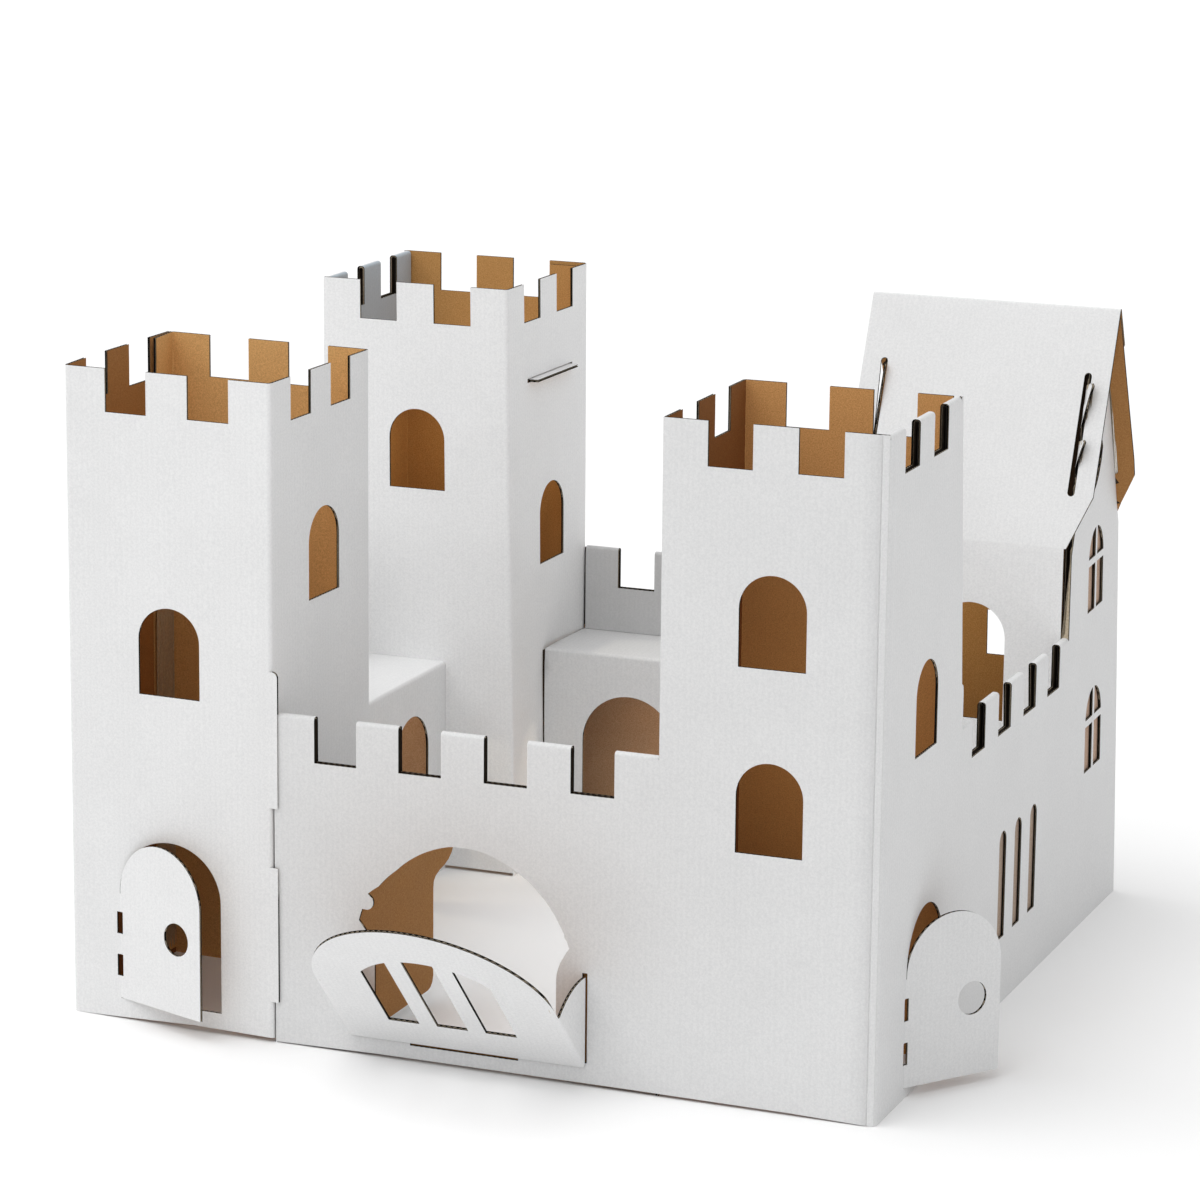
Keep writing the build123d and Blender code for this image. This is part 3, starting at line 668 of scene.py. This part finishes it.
def gate_ring():
    out = []
    for k in range(181):
        deg = 12.4 + (180 - 24.8) * k / 180
        a = radians(deg)
        r = float(np.interp(deg, [12, 25, 45, 62, 80, 98, 118, 132, 146, 153, 160, 168], [60, 58.6, 57.8, 57.8, 58.8, 59.4, 58.2, 57.4, 58.6, 61.6, 61.2, 61.4]))
        for nx, nz, nr in ((173.2 - 120, 84.0, 4.4), (285.9 - 120, 85.6, 2.6), (287.4 - 120, 79.2, 2.2)):
            dx, dz = nx - gx, nz - gz
            along = dx * cos(a) + dz * sin(a)
            off = abs(-dx * sin(a) + dz * cos(a))
            if along > 0 and off < nr:
                r = min(r, along - sqrt(nr ** 2 - off ** 2))
        out.append((gx + r * cos(a), gz + r * sin(a)))
    return out


gate = gate_ring()
gate += [(169.6 - 120, 73.2), (171.6 - 120, 70.6), (174.2 - 120, 67.4), (175.9 - 120, 64.6), (177.2 - 120, 61.4), (178.0 - 120, 58.6), (178.3 - 120, 55.5), (178.3 - 120, 13.4),
         (280.9 - 120, 13.4), (280.9 - 120, 55.5), (281.2 - 120, 58.6), (281.9 - 120, 61.4), (283.0 - 120, 64.6), (284.6 - 120, 67.4), (286.4 - 120, 70.6), (288.2 - 120, 73.2)]
cut.append(gate)
inner_gate = [(46.7, 12.4), (162.5, 12.4), (162.5, 62), (171, 62), (171, 122), (46.7, 122)]
cut.append(flip(inner_gate, FOLD_WALL))
cut += [rect(163.1 - 120, 166.0 - 120, 12.6, 60.5), rect(295.4 - 120, 298.3 - 120, 12.6, 61.0), rect(198.6 - 120, 260 - 120, 8.7, 10.9)]
# slits beside the roof edge where the lap of the gable is tucked in
lens = [[(376, 286), (392, 286.5), (395.5, 283), (399.0, 277.6), (396.3, 270), (391, 262.5), (386.5, 258.5), (376, 252)], [(376, 290), (388, 288), (389, 284.5), (376, 284.2)]]
cut += [[(OR + y, z) for y, z in l] for l in lens]
# door
HC = OR + 46.5
DROP = 5.7                                # this door sits lower than the front one
for loop in (arch(HC + 30.2, DOOR_HALF, DOOR_Z, DOOR_S), rect(HC - 1.0, HC + 1, DOOR_Z + 0.3, DOOR_S - 1.5), rect(HC - 1.9, HC + 1.9, 24, 36), rect(HC - 1.9, HC + 1.9, 47.6, 59.7)):
    cut.append(move(loop, 0, -DROP))
profiles = [(-1, OC - 0.1, wp), (OR + 1.78, OR + 114.22, tp), (OR + 131.7, OG - 0.15, wp)]
rows = fold_rows(wp, 0, OC - 0.3) + fold_rows(tp, OR + 1.9, OR + 114.1) + fold_rows(wp, OR + 132.1, OG - 0.4)


def gable_warp(p):
    # the gable bows in towards its back edge
    q = p.copy()
    k = np.clip((p[..., 1] - 331.0) / 117.0, 0, 1) ** 1.25 * np.clip(p[..., 2] / 231.0, 0, 1.0) ** 1.1
    k = k * np.clip((p[..., 0] - 330.0) / 120.0, 0, 1)
    q[..., 0] = p[..., 0] - 5.4 * k
    x, y, z = p[..., 0], p[..., 1], p[..., 2]
    # the inner layer lies close behind the narrow slots
    near = (x > 448) & (x < 451.8) & (z < 180)
    pad = np.clip((y - 186) / 12, 0, 1) * np.clip((301 - y) / 12, 0, 1) * np.clip((180 - z) / 53, 0, 1)
    q[..., 0] = q[..., 0] + np.where(near, 1.5 * pad, 0.0)
    # the merlon next to the tower stands a little lower
    low = (x > 448) & (y > 131.5) & (y < 149.7)
    q[..., 2] = z - np.where(low, 3.6 * np.clip((z - 155) / 25, 0, 1), 0.0)
    # score line just round the corner of the front right tower
    m = (p[..., 0] > 452.5) & (p[..., 1] < 3)
    q[..., 0] = np.where(m, q[..., 0] - 1.0 * np.clip(1 - np.abs(p[..., 1] - 1.7) / 0.9, 0, 1), q[..., 0])
    m = (np.abs(p[..., 0] - 449.8) < 0.9) & (p[..., 1] < 2)
    q[..., 1] = np.where(m, q[..., 1] + 1.1 * np.clip(1 - np.abs(p[..., 0] - 449.8) / 0.8, 0, 1), q[..., 1])
    return q


def front_kraft(s, t):
    # little light gets between the two layers, so they are painted near-black shade; the narrow slots look on the inner
    # one, painted a paler grey kraft as painted light
    shut = (((s < OC) | (s > OR + 131)) & (t > 128) & (t < 238)) | ((s > OR + 1) & (s < OR + 115) & (t > 300) & (t < 412)) | (s > OG)
    slot = (s > OR + 200) & (s < OR + 285) & (t > 262) & (t < 335)
    return np.where(slot, 6, np.where(shut, 5, KRAFT))


W.sheet(add, cut, folded(po, profiles), cols=fold_cols(po, 0, TOWER_H) + [(OR + c, 0, TOWER_H) for c in (0.8, 1.25, 1.7, 2.15, 2.6)] + [(329.8 + c, 0, TOWER_H) for c in (-0.8, 0.8)], rows=rows, warp=gable_warp, seed=1.7,
        core_rows=[100, 238], kraft_at=front_kraft)
door_leaf(W, (0, 1), (454.5, 46.5), radians(36), 4.4, lambda p: p - np.array([0.0, 0.0, DROP]))
# inner layer of the gate, folded back into the yard
leaf = [(3.4, 14), (9, 7.5), (90.5, 7.5), (94, 8.3), (96.6, 10.6), (97.9, 14), (97.9, 64), (98.6, 67.4), (101, 69.8), (106, 71.6), (113, 72.9), (118.5, 74.7), (122.5, 77.3), (124.5, 80.2)]
leaf += [(66 + 58.8 * cos(radians(a)), 80 + 42 * sin(radians(a))) for a in range(4, 91, 6)] + [(3.4, 122)]
W.sheet([leaf], [], plane((166.65, 0, 0), (0, 1, 0), (0, 0, 1), (1, 0, 0)), seed=2.9, step=9)
W.finish()

# tower_front_right_inner
pc = Path([(336, 1.5), (336, 116), (453, 116)], -1, 2.2)
# kraft side the lighter, warmer copy, painted light; the left wall's inside the dark copy, painted shade
C = Piece("front_right_tower_inner_card", "tower_front_right_inner", 0, 9, (KRAFTS[4],))
add = [rect(0, 228.2, 0, TOWER_H), rect(228, 231.4, 0, 296.8)]
cut = [rect(a - 1.5, a + 21.7, TN, 360) for a in (23.2, 69.6)] + [rect(114.5 + a, 114.5 + a + 23.7, TN, 360) for a in (23.7, 71.1)]
C.sheet(add, cut, upright(pc), cols=fold_cols(pc, 0, TOWER_H), seed=5.2, kraft_at=lambda s, t: np.where(s < 114.5, 5, KRAFT))
C.sheet([rect(1.6, 24, 3, 328)], [], plane((337.52, 0, 0), (0, 1, 0), (0, 0, 1), (1, 0, 0)), seed=5.9)
C.finish()

# drawbridge
lean = radians(43.6)
up = np.array([0, -sin(lean), cos(lean)])
out = np.array([0, -cos(lean), -sin(lean)])
X0, X1, BZ, HALF = 163.8, 297.6, 11.4, 66.9
pd = Path([(X0, 60), (X0, 0), (X1, 0), (X1, 60)], 1, 1.9)   # across, and in from the outer face
# kraft side the darker copy, painted shade
D = Piece("drawbridge_card", "drawbridge", 0, 2)


def bridge_map(s, t, w):
    p = pd.at(s, w)
    return np.array([0, -0.05, BZ]) + p[..., 0:1] * np.array([1.0, 0, 0]) + t[..., None] * up - (p[..., 1:2] - T) * out


mid = 60 + HALF
panel = [(60, 0), (60 + 2 * HALF, 0), (60 + 2 * HALF, 54)] + arc(mid, 54, HALF, 0, 180, 60)
cut = []
for x in (-27.4, 0.0, 27.4):
    a, b = x - 8.7, x + 8.7
    top = [(mid + b - (b - a) * k / 10, 44.4 + sqrt(46.9 ** 2 - (b - (b - a) * k / 10) ** 2)) for k in range(11)]
    cut.append([(mid + a, 24), (mid + b, 24)] + top)


def side_line(sgn):
    # quarter-circle side, measured away from the crease
    pts = [(0, 0.5), (0, 51)]
    for k in range(1, 13):
        a = lean * k / 12
        r = 51 - 2.2 * k / 12
        pts.append((r * sin(a), r * cos(a)))
    d, q = pts[-1]
    wall = (sin(lean), cos(lean))
    pts[-1] = (48.8 * wall[0], 48.8 * wall[1])
    pts.append((2.6 * wall[0] + 0.2, 2.6 * wall[1]))
    return pts


left = [(60.01 - d, q) for d, q in side_line(-1)]
right = [(60 + 2 * HALF - 0.01 + d, q) for d, q in side_line(1)]
D.sheet([panel, left, right], cut, bridge_map, cols=[(c, 0, 53) for c in pd.rows], seed=7.7, step=9)
D.finish()

# outer_wall_rear: left wall, left and back of the back left tower, back wall
pr = Path([(-7, 115.5), (-7, 448), (328.5, 448)], -1, 2.3)
# white side the slightly darker copy, painted shade
R = Piece("outer_wall_rear_card", "outer_wall_rear", 1, 1, (WHITES[3], WHITES[5], KRAFTS[5], KRAFTS[8]))
add = [rect(0, 215.5, 0, FOLD_WALL - 128.2), rect(215.5, 453, 0, TOWER_H), rect(217.3, 330.6, 353, FOLD_TOWER - 297), rect(453, 668, 0, WALL_H), rect(455.5, 668, 0, FOLD_WALL - 128.2)]
cut = [rect(215.3, 217.1, 180.3, 360), rect(451.8, 453.2, 180.3, 360), rect(215.3, 215.6, WALL_H - 1.6, 400), rect(452.9, 455.6, WALL_H - 1.6, 400), rect(217.2, 217.35, 351.6, 360), rect(330.55, 330.7, 351.6, 360)]
for i in (1, 3, 5, 7):
    cut.append(rect(i * 215.5 / 9, (i + 1) * 215.5 / 9, WN, WALL_H + DOUBLE + WALL_N))
    cut.append(rect(453 + i * 215 / 9, 453 + (i + 1) * 215 / 9, WN, WALL_H + DOUBLE + WALL_N))
for a in (23.4, 70.2):
    cut.append(rect(215.5 + a, 215.5 + a + 23.4, TN, TOWER_H + DOUBLE + TOWER_N))
for a in (24.1, 72.3):
    cut.append(rect(332.5 + a, 332.5 + a + 24.1, TN, TOWER_H + 4))
profiles = [(-1, 215.4, wp), (217.28, 330.62, tp), (455.45, 669, wp)]
rows = fold_rows(wp, 0, 215.2) + fold_rows(tp, 217.4, 330.5) + fold_rows(wp, 455.7, 668)
# the turned-down layers face the yard and the inside of the tower, in darker white as painted shade, the tower's layer
# darkest and cool; between the layers near-black painted shade, and inside the back wing a paler greyed kraft, painted
# light
R.sheet(add, cut, folded(pr, profiles), cols=fold_cols(pr, 0, TOWER_H), rows=rows, seed=9.1,
        white_at=lambda s, t: np.where(t > 356.6, 6, np.where((t > 183) & ((s < 215.5) | (s > 453)), 5, WHITE)),
        kraft_at=lambda s, t: np.where((((s < 215.5) | (s > 453)) & (t > 128) & (t < 238)) | ((s > 217) & (s < 331) & (t > 297) & (t < 414)), 7, np.where((s > 453) & (t < 128), 8, KRAFT)))
R.finish()

# tower_back_left_inner
pb = Path([(-5.5, 331), (113.5, 331), (113.5, 446.5), (89.5, 446.5)], 1, 2.2)
# white side the lighter copy, painted light; the wall inside the back wing near black, painted shade
B = Piece("back_left_tower_inner_card", "tower_back_left_inner", 2, 1, (KRAFTS[5],))


def tower_b_warp(p):
    # leans a little to the left
    q = p.copy()
    u = np.clip((p[..., 0] + 7) / 120.5, 0, 1.1)
    v = np.clip((p[..., 1] - 331) / 117.0, 0, 1)
    h = p[..., 2] / 354.0
    bow = 3.7 * np.sin(pi * v) * np.clip((185 - p[..., 2]) / 60.0, 0, 1) ** 1.5 * (0.82 + 0.18 * np.clip(p[..., 2] / 110.0, 0, 1))
    q[..., 0] = p[..., 0] + u * ((3.7 - 6.3 * h) * (1 - v) + (1.5 - 0.7 * np.clip((h - 0.6) / 0.4, 0, 1)) * v * v - bow)
    return q


add = [rect(0, 234.5, 0, TOWER_H), rect(234.4, 258.4, 3, 352), rect(-1.5, 0.1, 180.7, TOWER_H)]
cut = [rect(a, b, TN, 360) for a, b in ((22.6, 46.7), (70.8, 94.9), (142.4, 165.8), (189.2, 212.6))]
cut += [window(59.25, 231.5), window(181.5, 182), rect(146.5, 212, 294.7, 297.3), rect(4, 118.3, -1, 1.8)]
B.sheet(add, cut, upright(pb), cols=fold_cols(pb, 0, TOWER_H) + [(175.7, 0, 126.2)], rows=[(126.2, 175.7, 233.5)], warp=tower_b_warp, seed=11.3,
        core_rows=[60, 125, 133, 141, 149, 157, 165, 175, 185, 212, 250],
        white_at=lambda s, t: np.where((s > 175.7) & (s < 234) & (t < 126.2), 5, WHITE))
B.finish()

# tower_back_left_floor
Fl = Piece("back_left_tower_floor_card", "tower_back_left_floor")
Fl.sheet([rect(-5.4, 111.9, 332.6, 444.9), [(111.8, 361), (118.1, 361), (119.1, 362), (119.1, 420), (118.1, 421), (111.8, 421)]], [],
         plane((0, 0, 296.7), (1, 0, 0), (0, 1, 0), (0, 0, -1)), warp=tower_b_warp, seed=12.9)
Fl.finish()

# wings
pl = Path([(72, 0), (72, 128), (-5.4, 128)], 1, 2.2)
# kraft side the paler greyed copy, painted light on the inside seen through the arches
L = Piece("left_wing_card", "left_wing", 0, 8)
L.sheet([[(118.6, 0), (330.9, 0), (330.9, 205.4), (122.4, 205.4), (118.6, 128)]], [arch(cy, 23.4, -1, 81.7) for cy in (164.5, 223.5, 282.5)], rolled(pl, "y"), rows=fold_rows(pl, 115.6, 330.9), seed=13.6)
L.sheet([rect(-5.3, 70.3, 3, 126)], [], plane((0, 330.7, 0), (1, 0, 0), (0, 0, 1), (0, -1, 0)), seed=14.4)
L.finish()
pw = Path([(387, 0), (387, 128), (446.4, 128)], -1, 2.2)
# white side the slightly darker copy, painted shade; kraft side the paler greyed copy, painted light
K = Piece("back_wing_card", "back_wing", 1, 8)
K.sheet([[(112.7, 75), (113.6, 0), (328.4, 0), (328.4, 187.4), (115.4, 187.4), (112.6, 128)]], [arch(cx, 29.8, -1, 73) for cx in (167.5, 274.5)], rolled(pw, "x"), rows=fold_rows(pw, 113.6, 328.4), seed=15.2)
K.finish()

# house
SL = hypot(58.5, 130.1)
ph = Path([(331, 0), (331, 231), (389.5, 361.1), (448, 231)], -1, 1.6)
# kraft side the darker copy, painted shade, near black under the roof inside the house, painted shade; the front wall
# below the eaves the lighter white, painted light
H = Piece("house_front_and_roof_card", "house_front_and_roof", 0, 2, (KRAFTS[5], WHITES[2]))
RI = 231 + SL
roof = [(328.5, 0), (449.6, 0), (449.6, 231), (450.8, 231), (462, 231 + 0.216 * SL), (462, RI + 0.19 * SL), (315.5, RI + 0.19 * SL), (315.5, 231 + 0.216 * SL), (328.5, 231)]
cut = [arch(397, 20, 128, 175.5)]
t0, t1 = 231 + 0.212 * SL, 231 + 0.715 * SL
cut.append(arc(449.0, t0 + 2.1, 2.1, 180, 360, 10) + arc(449.0, t1 - 2.1, 2.1, 0, 180, 10))
cut.append([(329.3, t0), (330.6, t0)] + arc(328.4, t1 - 2.1, 2.1, 0, 180, 10) + [(328.6, 231 + 0.40 * SL)])
H.sheet([roof], cut, rolled(ph, "x"), rows=[(r, 315.5 if r > 240 else 328.5, 462 if r > 240 else 450) for r in ph.rows], seed=16.4, core_rows=[],
        white_at=lambda s, t: np.where(t < 231, 6, WHITE), kraft_at=lambda s, t: np.where((t > 240) & (s > 320) & (s < 451), 5, KRAFT))
H.finish()
pk = Path([(448, 0), (448, 231 - lift), (389.5, 359 - lift)], 1, 2.2)
# kraft side: the darker copy on the roof's overhangs, painted shade, near black inside the house, painted shade, and
# the plain kraft on the wall below 226
G = Piece("house_back_and_roof_card", "house_back_and_roof", 0, 2, (KRAFTS[5], KRAFTS[1]))
E = 231 - lift
SB = hypot(58.5, 128)
back = [(328.5, 0), (452.9, 0), (452.9, E), (462, E + 0.216 * SB), (462, E + 0.985 * SB), (315.5, E + 0.985 * SB), (315.5, E + 0.216 * SB), (328.5, E)]
panes = [rect(391 - WW, 389, 137, 164), rect(393, 391 + WW, 137, 164),
         [(393, 168)] + arc(391, 167, WW, 3.2, 83.6, 14), [(389, 168)] + arc(391, 167, WW, 176.8, 96.4, 14)]
for x in (328.4, 450.0):
    panes.append(arc(x, E + 0.217 * SB + 2.1, 2.1, 180, 360, 10) + arc(x, E + 0.68 * SB - 2.1, 2.1, 0, 180, 10))


def back_warp(p):
    # the wall and the lowest edge of the slope follow the bowed gable, the rest of the slope lies flat
    return p + (gable_warp(p) - p) * np.clip((258 - p[..., 2:3]) / 27.0, 0, 1)


G.sheet([back], panes, rolled(pk, "x"), rows=[(r, 328.5, 453) for r in pk.rows], warp=back_warp, seed=17.8,
        kraft_at=lambda s, t: np.where(t < 226, 6, np.where((s > 320) & (s < 449), 5, KRAFT)))
G.finish()


def gable(name, node_name, x, doorway, slits, hook_list, bend, seed):
    # kraft side: the paler greyed copy, painted light, on the gable with slits, with its front part inside the house
    # near black, painted shade; the other gable the darker copy, painted shade
    g = Piece(name, node_name, 0, 6 if slits else 2, (KRAFTS[5],))
    y0, y1 = 332.5, 446.5
    out_l = [(y0, 0), (y1, 0), (y1, 231 - 2 * lift), (389.5 - lift / (2 * slope), 359 - 1.5 * lift), (y0, 231 - lift + T * slope)]
    cuts = [arch(418, 20, 128, 176)] if doorway else []
    if slits:
        cuts += lens

    def curl(p):
        # the hooks that come through the roof bend over to the right
        q = gable_warp(p)
        if slits:
            q[..., 0] = q[..., 0] + 1.4 * np.clip((262 - p[..., 2]) / 30, 0, 1) * np.clip((p[..., 1] - 334) / 16, 0, 1)
        n = np.array([-0.9095, 0.4157])
        d = (p[..., 1] - 331) * n[0] + (p[..., 2] - 231) * n[1]
        k = np.clip(d / 6.5, 0, 1.2) * (p[..., 1] < 389)
        q[..., 0] = q[..., 0] + bend * k ** 1.4
        return q

    def on(t, h):
        return (331 + 58.5 * t - 0.9095 * h, 231 + 128 * t + 0.4157 * h)

    hooks = []
    for t0, t1, rise in hook_list:
        hooks.append([on(t0, -3), on(t1, -3), on(t1, rise - 1.0), on(t1 - 0.012, rise), on(t0 + 0.45 * (t1 - t0), 0.45 * rise), on(t0, -1.4)])
    a, b = (448 - 58.5 * 0.485, 231 + 128 * 0.485 - lift), (448 - 58.5 * 0.515, 231 + 128 * 0.515 - lift)
    hooks.append([(a[0] - 5, a[1]), (b[0] - 5, b[1]), (b[0] + 2.6, b[1] + 1.2), (a[0] + 2.6, a[1] + 1.2)])
    g.sheet([out_l] + hooks, cuts, plane((x, 0, 0), (0, 1, 0), (0, 0, 1), (1, 0, 0)), warp=curl, seed=seed, step=9,
            rows=[(z, y0, y1) for z in (60, 120, 180)], core_rows=[232, 262], kraft_at=(lambda s, t: np.where(s < 366, 5, KRAFT)) if slits else None)
    g.finish()


gable("house_gable_left_card", "house_gable_left", 328.5, True, False, ((0.40, 0.695, 3.8), (0.25, 0.36, 3.4)), 2.6, 19.5)
gable("house_gable_right_card", "house_gable_right", 449.7, False, True, ((0.44, 0.675, 6.0), (0.30, 0.442, 5.4)), 5.6, 21.2)

# ------------------------------------------------------------- floor and light
fl = bpy.data.meshes.new("floor")
s = 30.0
fl.from_pydata([(-s, -s, 0), (s, -s, 0), (s, s, 0), (-s, s, 0)], [], [(0, 1, 2, 3)])
floor = bpy.data.objects.new("floor", fl)
bpy.context.scene.collection.objects.link(floor)
m, nt, b = mat("studio_floor")
nz = node(nt, "ShaderNodeTexNoise", in_Scale=3.0, in_Detail=3.0)
tc = node(nt, "ShaderNodeTexCoord")
nt.links.new(tc.outputs["Object"], nz.inputs["Vector"])
nt.links.new(ramp(nt, nz.outputs["Fac"], [(0.3, (0.945, 0.945, 0.945)), (0.7, (0.965, 0.965, 0.965))]), b.inputs["Base Color"])
b.inputs["Roughness"].default_value = 0.75
b.inputs["Specular IOR Level"].default_value = 0.1
fl.materials.append(m)

world = bpy.data.worlds.new("studio")
bpy.context.scene.world = world
world.use_nodes = True
bg = world.node_tree.nodes["Background"]
bg.inputs["Color"].default_value = (1, 1, 1, 1)
bg.inputs["Strength"].default_value = 0.69


def sun(name, azimuth, elevation, strength, soft, col=(1, 1, 1)):
    # azimuth 0 shines from the front, and grows towards the right
    d = bpy.data.lights.new(name, "SUN")
    d.energy = strength
    d.angle = radians(soft)
    d.color = col
    o = bpy.data.objects.new(name, d)
    a, e = radians(azimuth), radians(elevation)
    o.rotation_euler = Vector((sin(a) * cos(e), -cos(a) * cos(e), sin(e))).to_track_quat("Z", "Y").to_euler()
    bpy.context.scene.collection.objects.link(o)


sun("key", -42, 64, 1.24, 60)
sun("side", -78, 42, 0.16, 38)
sun("rim", -120, 55, 0.22, 50)


def place_lamp(name, kind, at, to, power, col=(1, 1, 1)):
    # at and to are in drawing coordinates
    d = bpy.data.lights.new(name, kind)
    d.energy = power
    d.color = col
    o = bpy.data.objects.new(name, d)
    a, b = (Vector((np.array(q, float) + SHIFT) * MM) for q in (at, to))
    o.location = a
    o.rotation_euler = (a - b).to_track_quat("Z", "Y").to_euler()
    bpy.context.scene.collection.objects.link(o)
    return d


# a spot that reaches the back tower and the house over the gate wall
lamp = place_lamp("back fill", "SPOT", (720, -1300, 1500), (70, 331, 262), 24)
lamp.spot_size, lamp.spot_blend, lamp.shadow_soft_size = radians(10), 1.0, 0.2
# small fills inside the towers, out of sight
warm = (1.0, 0.92, 0.74)
for name, at, to, power in (("fill a", (60, 14, 160), (60, 90, 260), 0.003), ("fill b", (55, 390, 290), (55, 391, 150), 0.048), ("fill c", (395, 12, 118), (395, 95, 230), 0.020),
                              ("fill d", (35, 250, 124), (35, 300, 60), 0.022), ("fill e", (230, 420, 124), (230, 421, 20), 0.058), ("fill f", (345, 338, 222), (400, 446, 140), 0.05)):
    place_lamp(name, "AREA", at, to, power, warm).size = 0.008


# ---------------------------------------------------------------------- camera
az, el, roll = radians(21.82), radians(13.10), radians(0.55)
Fv = Vector((-sin(az) * cos(el), cos(az) * cos(el), -sin(el)))
Rv = Vector((cos(az), sin(az), 0))
Uv = Rv.cross(Fv)
R2 = Rv * cos(roll) + Uv * sin(roll)
U2 = -Rv * sin(roll) + Uv * cos(roll)
aim = (Vector((303.20, 0, 257.97)) + Vector(SHIFT)) * MM
cam = bpy.data.cameras.new("camera")
cam.sensor_width = 36
cam.lens = 131.776
cam.clip_start, cam.clip_end = 0.05, 100
co = bpy.data.objects.new("camera", cam)
rot = Matrix((R2, U2, -Fv)).transposed()
co.matrix_world = Matrix.Translation(aim - Fv * 2.20352) @ rot.to_4x4()
bpy.context.scene.collection.objects.link(co)
bpy.context.scene.camera = co
vs = bpy.context.scene.view_settings
vs.view_transform = "Standard"
vs.look = "None"
vs.exposure = 0.0
vs.gamma = 1.0

bpy.context.view_layer.update()
